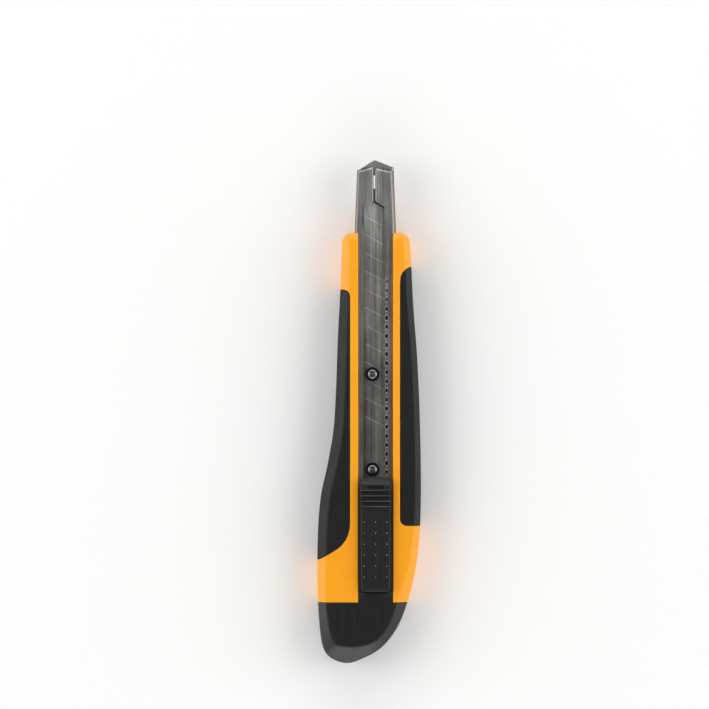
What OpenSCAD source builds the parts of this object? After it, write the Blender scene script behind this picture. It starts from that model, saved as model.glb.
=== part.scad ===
// Snap-off utility knife: a steel blade channel in a moulded handle with rubber grips.
// It lies on its flat back, the slider faces +Z and the blade points along +Y.
// +X is the spine side and -X the cutting-edge side.

/* [Handle] */
// Thickness of the handle, from its back to its front face
handle_h = 12.3; // [12:0.1:13]
// Width of the bevel round the handle's front face
bevel_w = 2.3; // [1.6:0.1:2.6]
// Depth of the bevel round the handle's front face
bevel_h = 1.9; // [1:0.1:2.2]
// Radius of the handle's back edges
back_edge_r = 1.5; // [0.8:0.1:2]
// Width of the track along the handle's front face
track_w = 9.6; // [9:0.1:10]
// Thickness of the wall behind the hollow
back_wall = 2; // [1.5:0.1:2.5]

/* [Grips] */
// Thickness of the rubber grips
grip_t = 1.6; // [1.2:0.1:1.8]

/* [Blade channel] */
// Width of the channel inside the handle
channel_w = 11.3; // [11:0.1:11.6]
// Width of the channel at its nose
nose_w = 10.1; // [10.1:0.1:10.6]
// Thickness of the channel's sheet steel
sheet_t = 0.45; // [0.4:0.05:0.45]
// Number of lock slots
slot_count = 27; // [25:1:30]
// Distance from one lock slot to the next
slot_pitch = 2.5; // [2.5:0.5:3]
// Width of a lock slot
slot_w = 0.55; // [0.5:0.05:0.7]
// Length of a lock slot
slot_len = 1.05; // [1:0.05:1.3]

/* [Blade] */
// Width of the blade
blade_w = 9; // [8.8:0.1:9]
// Thickness of the blade
blade_t = 0.4; // [0.38:0.01:0.42]
// Length of the blade along its cutting edge
blade_len = 80; // [80:1:80]
// Distance between score lines
score_pitch = 5; // [4:0.5:6]
// Slant of the score lines, in degrees
score_angle = 28; // [20:1:32]

/* [Slider] */
// Width of the thumb button
button_w = 8.3; // [7.8:0.1:8.4]
// Number of cross grooves on the button
groove_count = 5; // [3:1:5]
// How far the button can be pressed
press_travel = 0.6; // [0.4:0.1:0.6]

/* [Hidden] */
$fn = 48;
eps = 0.01;
far = 90;

// Handle outline from the front's left corner, down the belly, round the rear and up the spine
front_y = 49.2;
front_corner_r = 2.8;
side_points = [[-7.4, 46.4], [-7.9, 33.5], [-8.6, 20], [-9.1, 6], [-9.8, -5], [-11.4, -14.5],
    [-13.3, -23.5], [-14.1, -34], [-14.2, -48], [-13.4, -61], [-11.6, -66.9], [-6.6, -69.3],
    [-1.4, -67.9], [4.2, -64.3], [8.8, -57.4], [12.2, -46.4], [13.8, -35.4], [14.3, -21],
    [14, -2.3], [13.3, 14.2], [12.2, 29], [11.6, 41], [11.2, 46.4]];
curve_steps = 4;
corner_steps = 5;

// Joint between handle and end cap
seam_y = -52.5;
seam_gap = 0.1;
// The cap's front face slopes down towards its rear end
cap_slope_y = -64.2;
cap_slope = 28;

// Heights of the channel and of what runs in it
channel_x = 1.76;
channel_z = 7.6;
channel_depth = 3;
channel_top = channel_z + channel_depth;
channel_rear = -51.5;
lip_bottom = channel_top - sheet_t;
nose_base_y = 51;
nose_corner_y = 66.7;
nose_apex_y = 69.4;
lip_left = -1.5;
lip_left_nose = -2.05;
lip_right = 4.25;
slit_x = 1.46;
slit_w = 0.7;
slit_low_y = 58.2;
slit_high_y = 67;
plate_slit_w = 0.4;
plate_slit_low_y = 61.4;
plate_slit_high_y = 65.1;
flap_corner_y = 66;
vee_y = 56.5;
slot_x = 4.85;
slot_first_y = 35.8;
lock_slot = 24;
lock_y = slot_first_y - lock_slot * slot_pitch;

// Blade, carrier and studs
blade_x = channel_x - 0.1;
blade_z = 8.85;
blade_tail_y = -20.3;
edge_bevel = 1.3;
carrier_z = 8.12;
carrier_w = 4.6;
carrier_front_y = 13.3;
carrier_rear_y = -46;
stud_x = 0.94;
front_stud_y = 10.3;
rear_stud_y = -16;
stud_r = 1.9;
stud_hole_r = 1.95;
stud_neck_r = 1.2;
carrier_rivet_x = 0.2;
carrier_rivet_y = [-24.5, -43.5];
carrier_head_top = 9.7;
carrier_head_h = 0.5;
carrier_head_r = 1.3;

// Slider block, spring and button
block_front_y = -20.9;
block_rear_y = -47.5;
block_top = lip_bottom - 0.07;
neck_left = lip_left + 0.12;
neck_right = lip_right - 0.12;
flange_z = 11.8;
neck_top = 12.2;
leaf_z = 9.5;
leaf_t = 0.25;
leaf_left = 2;
leaf_right = 5.7;
leaf_rear_y = -45;
spring_rivet_x = 4.9;
spring_rivet_y = -42.5;
spring_rivet_r = 0.5;
button_x = 1.8;
button_front_y = -18;
button_rear_y = -49.6;
button_z = 11.3;
button_rear_w = 7.8;
groove_pitch = 1.45;
groove_first_y = -20.8;
button_high = 15;
button_pad = 14.2;

// Rivets and hollow
rivet_y = [35, -38];
rivet_r = 0.8;
rivet_head_r = 1.4;
boss_r = 2.3;
hollow_left = -3.4;
hollow_right = 6.9;
hollow_front_y = 44;
hollow_top = 6.6;
plug_len = 8;
plug_gap = 0.05;

yellow = [0.96, 0.62, 0.12];
black = [0.1, 0.1, 0.11];
steel = [0.55, 0.54, 0.53];
dark_steel = [0.4, 0.4, 0.41];

// Point at t between b and c on a smooth curve through a, b, c, d
function smooth_point(a, b, c, d, t) =
    0.5 * (2 * b + (c - a) * t + (2 * a - 5 * b + 4 * c - d) * t * t
    + (3 * b - a - 3 * c + d) * t * t * t);

// An open smooth curve through a list of points
function smooth_curve(p, steps) = let (last = len(p) - 1) concat(
    [for (i = [0 : last - 1]) for (k = [0 : steps - 1])
        smooth_point(p[max(i - 1, 0)], p[i], p[i + 1], p[min(i + 2, last)], k / steps)],
    [p[last]]);

function arc(x, y, r, from, to, steps) =
    [for (k = [0 : steps]) let (a = from + (to - from) * k / steps) [x + r * cos(a), y + r * sin(a)]];

side = smooth_curve(side_points, curve_steps);
right_corner_x = side_points[len(side_points) - 1].x - front_corner_r;
left_corner_x = side_points[0].x + front_corner_r;
corner_y = front_y - front_corner_r;
outline = concat(
    [for (i = [1 : len(side) - 2]) side[i]],
    arc(right_corner_x, corner_y, front_corner_r, 0, 90, corner_steps),
    arc(left_corner_x, corner_y, front_corner_r, 90, 180, corner_steps));
outline_n = len(outline);

// Way in from point i that moves both edges beside it in by one unit, so that every wall stays flat
function inward(i) = let (
    a = outline[(i + outline_n - 1) % outline_n],
    p = outline[i],
    b = outline[(i + 1) % outline_n],
    u = (p - a) / norm(p - a),
    v = (b - p) / norm(b - p),
    n = [-u.y, u.x],
    m = [-v.y, v.x]) (n + m) / (1 + n * m);

// Rings of the handle's rounded block, from its back to its front: [height, inset]. The first
// and the last lie past the flat faces, which are then cut clean.
back_steps = 3;
past = 2;
bevel_soft = 0.25;
all_rings = concat(
    [[-past, back_edge_r]],
    [for (k = [0 : back_steps]) let (a = 90 - 90 * k / back_steps)
        [back_edge_r * (1 - sin(a)), back_edge_r * (1 - cos(a))]],
    [[handle_h - bevel_h - bevel_soft, 0],
        [handle_h - bevel_h + bevel_soft, bevel_soft],
        [handle_h - bevel_soft / 2, bevel_w - bevel_soft],
        [handle_h, bevel_w + bevel_soft],
        [handle_h + past, bevel_w + bevel_soft]]);

function ring_point(i, ring) = let (q = outline[i] + inward(i) * ring[1]) [q.x, q.y, ring[0]];

module rounded_block() {
    n = outline_n;
    m = len(all_rings);
    points = [for (j = [0 : m - 1]) for (i = [0 : n - 1]) ring_point(i, all_rings[j])];
    walls = [for (j = [0 : m - 2]) for (i = [0 : n - 1]) let (k = (i + 1) % n)
        [j * n + i, (j + 1) * n + i, (j + 1) * n + k, j * n + k]];
    back = [for (i = [0 : n - 1]) i];
    front = [for (i = [0 : n - 1]) m * n - 1 - i];
    intersection() {
        polyhedron(points, concat(walls, [back, front]), convexity = 6);
        box([-far, -far, 0], [far, far, handle_h]);
    }
}

module box(low, high) {
    translate(low) cube(high - low);
}

// Where each grip covers the handle, seen from the front
left_grip_area = [[-far, -80], [-13, -40.3], [-10.2, -38.7], [-8, -37.3], [-6.5, -35.7],
    [-5.6, -33.6], [-5.26, -31.5], [-5.26, 32], [-5.95, 33.1], [-7.2, 33.5], [-far, 33.5]];
right_grip_area = concat(
    [[far, -31.4]],
    [[far, 40.1], [12.4, 40.1], [11, 39.7]],
    arc(11.6, 36.7, 3.03, 115, 180, 4),
    arc(10.37, -29.6, 1.8, 180, 270, 5));

// The solid handle under the rubber
module grip_core() {
    translate([0, 0, grip_t]) linear_extrude(handle_h - 2 * grip_t) offset(delta = -grip_t)
        polygon(outline);
}

module grip_space(area) {
    difference() {
        translate([0, 0, -1]) linear_extrude(handle_h + 2) polygon(area);
        grip_core();
    }
}

module channel_space() {
    box([channel_x - channel_w / 2, -far, channel_z], [channel_x + channel_w / 2, far, channel_top]);
}

module track_space() {
    track_x = channel_x + 0.05;
    box([track_x - track_w / 2, -far, channel_top - eps], [track_x + track_w / 2, far, far]);
}

module hollow() {
    difference() {
        box([hollow_left, -far, back_wall], [hollow_right, hollow_front_y, hollow_top]);
        for (y = rivet_y) translate([channel_x, y, 0]) cylinder(h = far, r = boss_r);
    }
}

module handle_shell() {
    color(yellow) difference() {
        rounded_block();
        box([-far, -far, -1], [far, seam_y, far]);
        grip_space(left_grip_area);
        grip_space(right_grip_area);
        channel_space();
        track_space();
        hollow();
        for (y = rivet_y) translate([channel_x, y, back_wall + 1]) cylinder(h = far, r = rivet_r);
    }
}

module left_grip() {
    color(black) intersection() {
        rounded_block();
        grip_space(left_grip_area);
    }
}

module right_grip() {
    color(black) intersection() {
        rounded_block();
        grip_space(right_grip_area);
    }
}

// Half width of the channel along its length, less a wall of thickness w
function half_w(y, w) = let (t = min(max((y - nose_base_y) / (nose_corner_y - nose_base_y), 0), 1))
    (channel_w + (nose_w - channel_w) * t) / 2 - w;

function channel_plan(w, top) = [
    [channel_x - half_w(0, w), channel_rear], [channel_x + half_w(0, w), channel_rear],
    [channel_x + half_w(0, w), nose_base_y], [channel_x + half_w(top, w), top],
    [channel_x - half_w(top, w), top], [channel_x - half_w(0, w), nose_base_y]];

module back_plate() {
    gable = [[channel_x - half_w(nose_corner_y, 0), nose_corner_y],
        [channel_x + half_w(nose_corner_y, 0), nose_corner_y], [channel_x, nose_apex_y]];
    translate([0, 0, channel_z]) linear_extrude(sheet_t) union() {
        polygon(channel_plan(0, nose_corner_y));
        polygon(gable);
    }
}

module channel_walls() {
    translate([0, 0, channel_z]) linear_extrude(channel_depth) difference() {
        polygon(channel_plan(0, flap_corner_y));
        polygon([[channel_x - half_w(0, sheet_t), channel_rear - 1],
            [channel_x + half_w(0, sheet_t), channel_rear - 1],
            [channel_x + half_w(0, sheet_t), nose_base_y],
            [channel_x + half_w(nose_corner_y, sheet_t), nose_corner_y + eps],
            [channel_x - half_w(nose_corner_y, sheet_t), nose_corner_y + eps],
            [channel_x - half_w(0, sheet_t), nose_base_y]]);
    }
}

module lips() {
    left = [[channel_x - half_w(0, 0), channel_rear], [lip_left, channel_rear], [lip_left, 50],
        [lip_left_nose, 51.5], [lip_left_nose, vee_y], [slit_x - slit_w / 2, slit_low_y],
        [slit_x - slit_w / 2, slit_high_y], [channel_x - half_w(flap_corner_y, 0), flap_corner_y],
        [channel_x - half_w(0, 0), nose_base_y]];
    right = [[channel_x + half_w(0, 0), channel_rear], [channel_x + half_w(0, 0), nose_base_y],
        [channel_x + half_w(flap_corner_y, 0), flap_corner_y],
        [slit_x + slit_w / 2, slit_high_y], [slit_x + slit_w / 2, slit_low_y],
        [lip_right, vee_y], [lip_right, channel_rear]];
    translate([0, 0, lip_bottom]) linear_extrude(sheet_t) {
        polygon(left);
        polygon(right);
    }
}

module blade_channel() {
    color(steel) difference() {
        union() {
            back_plate();
            channel_walls();
            lips();
        }
        translate([slit_x - plate_slit_w / 2, plate_slit_low_y, channel_z - 1])
            cube([plate_slit_w, plate_slit_high_y - plate_slit_low_y, 2]);
        for (i = [0 : slot_count - 1])
            translate([slot_x - slot_w / 2, slot_first_y - i * slot_pitch - slot_len / 2, channel_top - 1])
                cube([slot_w, slot_len, 2]);
        for (y = rivet_y) translate([channel_x, y, channel_z])
            cylinder(h = sheet_t, r1 = rivet_r, r2 = rivet_head_r);
    }
}

module channel_rivets() {
    rivet_low = back_wall + 1.5;
    color(dark_steel) for (y = rivet_y) translate([channel_x, y, 0]) {
        translate([0, 0, rivet_low]) cylinder(h = channel_z - rivet_low, r = rivet_r);
        translate([0, 0, channel_z]) cylinder(h = sheet_t, r1 = rivet_r, r2 = rivet_head_r);
    }
}

module blade() {
    edge_x = blade_x - blade_w / 2;
    spine_x = blade_x + blade_w / 2;
    slant = tan(score_angle);
    tip_y = blade_tail_y + blade_len;
    score_w = 0.2;
    score_deep = 0.12;
    plain_tail = 18;
    section = [[edge_x, blade_t / 2], [edge_x + edge_bevel, 0], [spine_x, 0], [spine_x, blade_t],
        [edge_x + edge_bevel, blade_t]];
    score_count = floor((blade_len - plain_tail) / score_pitch);
    color(steel) difference() {
        translate([0, tip_y, blade_z]) rotate([90, 0, 0]) linear_extrude(blade_len) polygon(section);
        translate([0, 0, blade_z - 1]) linear_extrude(blade_t + 2) polygon([
            [edge_x - eps, tip_y + eps], [spine_x + eps, tip_y - (blade_w + eps) * slant],
            [spine_x + eps, tip_y + 1], [edge_x - eps, tip_y + 1]]);
        for (i = [1 : score_count])
            translate([edge_x, tip_y - i * score_pitch, blade_z + blade_t - score_deep])
            rotate([0, 0, -score_angle]) translate([-1, -score_w / 2, 0])
            cube([blade_w / cos(score_angle) + 2, score_w, 1]);
        for (y = [front_stud_y, rear_stud_y]) translate([stud_x, y, blade_z - 1])
            cylinder(h = 3, r = stud_hole_r);
    }
}

module blade_carrier() {
    color(dark_steel) difference() {
        union() {
            box([stud_x - carrier_w / 2, carrier_rear_y, carrier_z],
                [stud_x + carrier_w / 2, carrier_front_y - carrier_w / 2, blade_z]);
            translate([stud_x, carrier_front_y - carrier_w / 2, carrier_z])
                cylinder(h = blade_z - carrier_z, r = carrier_w / 2);
        }
        for (y = [front_stud_y, rear_stud_y]) translate([stud_x, y, 0])
            cylinder(h = far, r = stud_neck_r);
        for (y = carrier_rivet_y) translate([carrier_rivet_x, y, 0]) cylinder(h = far, r = rivet_r);
    }
}

module carrier_rivets() {
    color(steel) for (y = carrier_rivet_y) translate([carrier_rivet_x, y, 0]) {
        translate([0, 0, carrier_z]) cylinder(h = carrier_head_top - carrier_z, r = rivet_r);
        translate([0, 0, carrier_head_top - carrier_head_h])
            cylinder(h = carrier_head_h, r = carrier_head_r);
    }
}

// Turned stud: a neck in the carrier, a raised rim and a dome inside it
module stud() {
    rim_top = lip_bottom + 0.15;
    dome_r = 1.4;
    dome_h = 0.55;
    dome_base = rim_top - 0.25;
    dome = [for (k = [0 : 6]) let (a = 15 * k) [dome_r * cos(a), dome_base + dome_h * sin(a)]];
    color(dark_steel) rotate_extrude() polygon(concat(
        [[0, carrier_z], [stud_neck_r, carrier_z], [stud_neck_r, blade_z], [stud_r, blade_z],
            [stud_r, rim_top - 0.1], [stud_r - 0.1, rim_top], [stud_r - 0.25, rim_top],
            [dome_r + 0.05, dome_base - 0.1]],
        dome));
}

module front_stud() {
    translate([stud_x, front_stud_y, 0]) stud();
}

module rear_stud() {
    translate([stud_x, rear_stud_y, 0]) stud();
}

// Runner under the channel's lips, with a flanged neck that carries the button
module slider_block() {
    play = 0.08;
    runner_left = channel_x - channel_w / 2 + sheet_t + play;
    runner_right = channel_x + channel_w / 2 - sheet_t - play;
    pocket_left = leaf_left - 0.1;
    pocket_right = leaf_right + 0.1;
    pocket_floor = 9;
    tooth_room = 1.6;
    window_rear = -30;
    neck_front = block_front_y - 0.4;
    neck_rear = block_rear_y + 0.4;
    flange_out = 0.3;
    color(black) difference() {
        union() {
            box([runner_left, block_rear_y, blade_z], [runner_right, block_front_y, block_top]);
            box([neck_left, neck_rear, blade_z], [neck_right, neck_front, neck_top]);
            box([neck_left - flange_out, neck_rear, flange_z],
                [neck_right + flange_out, neck_front, neck_top]);
        }
        // pocket in which the leaf spring bends, and a bed for its fixed end
        box([pocket_left, lock_y - tooth_room, pocket_floor], [pocket_right, lock_y + tooth_room, far]);
        box([pocket_left, spring_rivet_y + 2.5, pocket_floor],
            [pocket_right, lock_y + eps, block_top + eps]);
        box([pocket_left, leaf_rear_y - 0.1, leaf_z], [pocket_right, lock_y + eps, block_top + eps]);
        // window for the button's foot
        box([pocket_left, window_rear, pocket_floor], [far, lock_y, far]);
        for (y = carrier_rivet_y) translate([carrier_rivet_x, y, 0]) {
            cylinder(h = far, r = rivet_r);
            translate([0, 0, carrier_head_top - carrier_head_h]) cylinder(h = far, r = carrier_head_r);
        }
        translate([spring_rivet_x, spring_rivet_y, 0]) cylinder(h = far, r = spring_rivet_r);
    }
}

module lock_spring() {
    tooth_w = slot_w - 0.1;
    tooth_len = slot_len - 0.2;
    color(steel) difference() {
        union() {
            box([leaf_left, leaf_rear_y, leaf_z], [leaf_right, lock_y + 1.2, leaf_z + leaf_t]);
            box([slot_x - tooth_w / 2, lock_y - tooth_len / 2, leaf_z],
                [slot_x + tooth_w / 2, lock_y + tooth_len / 2, channel_top - 0.1]);
        }
        translate([spring_rivet_x, spring_rivet_y, 0]) cylinder(h = far, r = spring_rivet_r);
    }
}

module spring_rivet() {
    head_r = 0.75;
    color(dark_steel) translate([spring_rivet_x, spring_rivet_y, 0]) {
        translate([0, 0, blade_z]) cylinder(h = leaf_z + leaf_t - blade_z, r = spring_rivet_r);
        translate([0, 0, leaf_z + leaf_t]) cylinder(h = leaf_t, r = head_r);
    }
}

module button_body() {
    left = button_x - button_w / 2;
    right = button_x + button_w / 2;
    rear_left = button_x - button_rear_w / 2;
    rear_right = button_x + button_rear_w / 2;
    front_r = 2;
    rear_r = 1.1;
    plan = concat(
        arc(rear_left + rear_r, button_rear_y + rear_r, rear_r, 180, 270, 4),
        arc(rear_right - rear_r, button_rear_y + rear_r, rear_r, 270, 360, 4),
        arc(right - front_r, button_front_y - front_r, front_r, 0, 90, 6),
        arc(left + front_r, button_front_y - front_r, front_r, 90, 180, 6));
    step_y = groove_first_y - groove_count * groove_pitch;
    profile = [[button_rear_y - 1, button_z], [button_front_y + 1, button_z],
        [button_front_y + 1, 12.2], [button_front_y, 12.7], [button_front_y - 1, 14.1],
        [button_front_y - 2.2, button_high], [step_y, button_high],
        [step_y - 1.5, button_pad], [button_rear_y + 1.2, button_pad],
        [button_rear_y, button_pad - 0.9], [button_rear_y - 1, button_pad - 2]];
    intersection() {
        linear_extrude(far) polygon(plan);
        translate([-far, 0, 0]) rotate([90, 0, 90]) linear_extrude(2 * far) polygon(profile);
    }
}

module button_grooves() {
    groove_r = 0.42;
    for (i = [0 : groove_count - 1]) {
        length = i == 0 ? 4.5 : button_w + 1;
        translate([button_x - length / 2, groove_first_y - i * groove_pitch, button_high])
            rotate([0, 90, 0]) cylinder(h = length, r = groove_r);
    }
}

module button_dots() {
    dot_pitch = 3;
    first_dot_y = -30.3;
    for (i = [-1 : 1]) for (k = [0 : 5])
        translate([button_x + i * dot_pitch, first_dot_y - k * dot_pitch, button_pad - 0.1])
            cylinder(h = 0.3, r1 = 0.4, r2 = 0.25);
}

module thumb_button() {
    cavity_gap = 0.1;
    cavity_front = block_front_y - 0.25;
    cavity_rear = block_rear_y + 0.25;
    cavity_top = neck_top + press_travel + 0.06;
    ledge_top = flange_z - 0.02;
    flange_room = 0.4;
    foot_low = [2.2, -28.6, leaf_z + leaf_t + 0.05];
    foot_high = [3.9, -26.2, cavity_top + eps];
    color(black) {
        difference() {
            union() {
                button_body();
                button_dots();
            }
            button_grooves();
            box([neck_left - cavity_gap, cavity_rear, 0],
                [neck_right + cavity_gap, cavity_front, cavity_top]);
            box([neck_left - flange_room, cavity_rear, ledge_top],
                [neck_right + flange_room, cavity_front, cavity_top]);
        }
        box(foot_low, foot_high);
    }
}

module end_cap() {
    cap_front = seam_y - seam_gap;
    tongue_front = -49.7;
    track_x = channel_x + 0.05;
    plug_low = back_wall + plug_gap;
    plug_high = hollow_top - plug_gap;
    wall = 1.1;
    hollow_rear = -62;
    color(black) difference() {
        union() {
            intersection() {
                rounded_block();
                box([-far, -far, -1], [far, cap_front, far]);
            }
            box([track_x - track_w / 2 + plug_gap, cap_front - 1, channel_top + plug_gap],
                [track_x + track_w / 2 - plug_gap, tongue_front, handle_h]);
            box([hollow_left + plug_gap, cap_front - 1, plug_low],
                [hollow_right - plug_gap, seam_y + plug_len, plug_high]);
        }
        box([hollow_left + wall, hollow_rear, plug_low + wall],
            [hollow_right - wall, far, plug_high - wall]);
        translate([-far, cap_slope_y, handle_h]) rotate([cap_slope, 0, 0]) translate([0, -far, 0])
            cube([2 * far, far, far]);
    }
}

handle_shell();
left_grip();
right_grip();
blade_channel();
channel_rivets();
blade();
blade_carrier();
carrier_rivets();
front_stud();
rear_stud();
slider_block();
lock_spring();
spring_rivet();
thumb_button();
end_cap();
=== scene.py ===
import math

import bmesh
import bpy
import numpy as np
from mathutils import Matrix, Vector
from mathutils.geometry import delaunay_2d_cdt


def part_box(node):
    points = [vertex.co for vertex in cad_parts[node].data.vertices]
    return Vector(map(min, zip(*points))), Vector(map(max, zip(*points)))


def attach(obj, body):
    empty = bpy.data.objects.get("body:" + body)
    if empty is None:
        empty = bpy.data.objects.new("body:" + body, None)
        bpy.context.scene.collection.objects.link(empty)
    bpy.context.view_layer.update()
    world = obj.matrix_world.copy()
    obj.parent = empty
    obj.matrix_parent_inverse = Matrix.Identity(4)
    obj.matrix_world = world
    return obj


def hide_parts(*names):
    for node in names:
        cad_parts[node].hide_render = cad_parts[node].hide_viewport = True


# The looks of the snap-off utility knife. The CAD frame gives the main places and what the eye meets
# is rebuilt here with its moulded edges, folds and textures. Lengths are in millimetres up to
# make_object(), which turns them into metres.
MM = 0.001

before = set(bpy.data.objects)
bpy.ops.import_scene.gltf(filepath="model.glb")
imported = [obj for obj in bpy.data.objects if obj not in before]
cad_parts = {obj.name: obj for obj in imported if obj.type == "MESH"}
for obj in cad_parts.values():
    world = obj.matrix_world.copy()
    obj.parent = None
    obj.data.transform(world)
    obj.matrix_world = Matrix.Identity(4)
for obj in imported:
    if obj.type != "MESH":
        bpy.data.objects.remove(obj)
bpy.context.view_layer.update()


def box_mm(node):
    low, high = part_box(node)
    return np.array(low) / MM, np.array(high) / MM


shell_low, shell_high = box_mm("handle_shell")
channel_low, channel_high = box_mm("blade_channel")
blade_low, blade_high = box_mm("blade")
block_low, block_high = box_mm("slider_block")
button_low, button_high = box_mm("thumb_button")
rivet_low, rivet_high = box_mm("channel_rivets")

HANDLE_H = shell_high[2]
FRONT_Y = shell_high[1]
SEAM_Y = shell_low[1]
CHANNEL_X = (channel_low[0] + channel_high[0]) / 2
TRACK_X = CHANNEL_X + 0.05
TRACK_W = 9.6
FAR = 90
RIVET_HEAD_R = (rivet_high[0] - rivet_low[0]) / 2
RIVET_X = (rivet_low[0] + rivet_high[0]) / 2
RIVET_Y = (rivet_low[1] + RIVET_HEAD_R, rivet_high[1] - RIVET_HEAD_R)

# ---------------------------------------------------------------- handle outline in plan

FRONT_CORNER_R = 2.8
SIDE_POINTS = [(-7.4, 46.4), (-7.9, 33.5), (-8.6, 20), (-9.1, 6), (-9.8, -5), (-11.4, -14.5),
    (-13.3, -23.5), (-14.1, -34), (-14.2, -48), (-13.4, -61), (-11.6, -66.9), (-6.6, -69.3),
    (-1.4, -67.9), (4.2, -64.3), (8.8, -57.4), (12.2, -46.4), (13.8, -35.4), (14.3, -21),
    (14, -2.3), (13.3, 14.2), (12.2, 29), (11.6, 41), (11.2, 46.4)]


def smooth_curve(points, steps):
    """An open Catmull-Rom curve through the points."""
    p = np.array([points[0]] + list(points) + [points[-1]], float)
    found = []
    for a, b, c, d in zip(p[:-3], p[1:-2], p[2:-1], p[3:]):
        for t in np.arange(steps) / steps:
            found.append(0.5 * (2 * b + (c - a) * t + (2 * a - 5 * b + 4 * c - d) * t ** 2
                + (3 * b - a - 3 * c + d) * t ** 3))
    return np.array(found + [p[-1]])


def arc(x, y, r, start, end, steps):
    angles = np.radians(np.linspace(start, end, steps + 1))
    return np.column_stack([x + r * np.cos(angles), y + r * np.sin(angles)])


def handle_outline():
    """Anticlockwise, from the front's left corner down the belly, round the rear and up the spine."""
    side = smooth_curve(SIDE_POINTS, 9)
    corner_y = FRONT_Y - FRONT_CORNER_R
    right_x = side[-1][0] - FRONT_CORNER_R
    left_x = side[0][0] + FRONT_CORNER_R
    return np.vstack([side[1:-1], arc(right_x, corner_y, FRONT_CORNER_R, 0, 90, 10),
        arc(left_x, corner_y, FRONT_CORNER_R, 90, 180, 10)])


def normals_left(line, closed):
    """Mitred normals to the left of a polyline's direction."""
    before = np.roll(line, 1, axis=0)
    after = np.roll(line, -1, axis=0)
    if not closed:
        before[0], after[-1] = line[0], line[-1]
    first = line - before
    second = after - line
    if not closed:
        first[0], second[-1] = second[0], first[-1]
    first /= np.linalg.norm(first, axis=1)[:, None]
    second /= np.linalg.norm(second, axis=1)[:, None]
    n = np.column_stack([-first[:, 1], first[:, 0]])
    m = np.column_stack([-second[:, 1], second[:, 0]])
    return (n + m) / (1 + np.sum(n * m, axis=1))[:, None]


def distance(points, line):
    """Distance from each point to an open polyline."""
    a, b = line[:-1], line[1:]
    ab = b - a
    length2 = np.sum(ab * ab, axis=1)
    found = []
    for chunk in np.array_split(points, max(1, len(points) // 2000)):
        ap = chunk[:, None, :] - a[None]
        t = np.clip(np.sum(ap * ab[None], axis=2) / length2[None], 0, 1)
        away = ap - t[:, :, None] * ab[None]
        found.append(np.sqrt(np.min(np.sum(away * away, axis=2), axis=1)))
    return np.concatenate(found)


def inside(points, polygon):
    """Which points lie in a polygon."""
    x, y = points[:, 0], points[:, 1]
    found = np.zeros(len(points), bool)
    for (ax, ay), (bx, by) in zip(polygon, np.roll(polygon, -1, axis=0)):
        crosses = (ay > y) != (by > y)
        with np.errstate(divide="ignore", invalid="ignore"):
            found ^= crosses & (x < (bx - ax) * (y - ay) / (by - ay) + ax)
    return found


outline = handle_outline()
outline_loop = np.vstack([outline, outline[:1]])
outline_inward = normals_left(outline, True)

# Where each rubber grip meets the plastic, seen from the front
left_seam = np.vstack([smooth_curve([(-20, -42.2), (-15, -41), (-13, -40.3), (-10.2, -38.7), (-8, -37.2),
    (-6.5, -35.4), (-5.7, -33.6), (-5.26, -31.5)], 4), [(-5.26, y) for y in range(-29, 31, 4)],
    arc(-7.16, 31.6, 1.9, 0, 88, 8), [(-20, 33.5)]])
right_seam = np.vstack([[(20, 40.1), (12.4, 40.1)], smooth_curve([(11.6, 39.9), (10.6, 39.4), (9.7, 38.7),
    (9.06, 37.9), (8.7, 36.9)], 3), [(8.57, y) for y in range(35, -29, -4)],
    arc(10.37, -29.6, 1.8, 180, 270, 8), [(20, -31.4)]])
cap_seam = np.array([(-20.0, SEAM_Y - 0.05), (20.0, SEAM_Y - 0.05)])
left_area = np.vstack([left_seam, [(-FAR, 33.5), (-FAR, -42.2)]])
right_area = np.vstack([right_seam, [(FAR, -31.4), (FAR, 40.1)]])
SEAM_HALF_GAP = 0.04

# Width of the bevel round the front face: (y, width) down the belly side and up the spine side
BELLY_BEVEL = [(-69.3, 5.2), (-68.4, 4.9), (-66, 3.4), (-62, 2.6), (-52.5, 2.0), (-40, 2.4), (-10, 2.6),
    (20, 2.5), (33, 2.3), (46, 2.1), (49.2, 1.7)]
SPINE_BEVEL = [(-69.3, 5.2), (-68.6, 3.9), (-66.5, 2.8), (-64, 2.3), (-58, 2.4), (-52.5, 2.9), (-42, 1.9),
    (-25, 1.5), (20, 1.5), (40, 1.7), (49.2, 1.7)]
BEVEL_CREASE = 0.3
EDGE_R = 0.4
SEAM_R = 0.25
BACK_R = 1.5


def outline_bevel():
    rear = np.argmin(outline[:, 1])
    belly = np.interp(outline[:, 1], *zip(*BELLY_BEVEL))
    spine = np.interp(outline[:, 1], *zip(*SPINE_BEVEL))
    left = (np.arange(len(outline)) < rear) | (outline[:, 1] > FRONT_Y - 1e-6) & (outline[:, 0] < TRACK_X)
    return np.where(left, belly, spine)


bevel_at_outline = outline_bevel()


def bevel_width(points):
    """The bevel's width at any point, a smooth mean of the widths along the outline near it."""
    away = np.sum((points[:, None, :] - outline[None]) ** 2, axis=2) + 1.5
    weights = away ** -3
    return weights @ bevel_at_outline / weights.sum(axis=1)


def fillet_drop(d, r):
    """How far a rounded edge of radius r lies below the face, at distance d in from the edge."""
    inset = np.clip(r - d, 0, r)
    return r - np.sqrt(r * r - inset * inset)


def seam_drop(points, seams):
    return sum(fillet_drop(np.maximum(distance(points, seam) - SEAM_HALF_GAP, 0), SEAM_R)
        for seam in seams)


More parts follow.
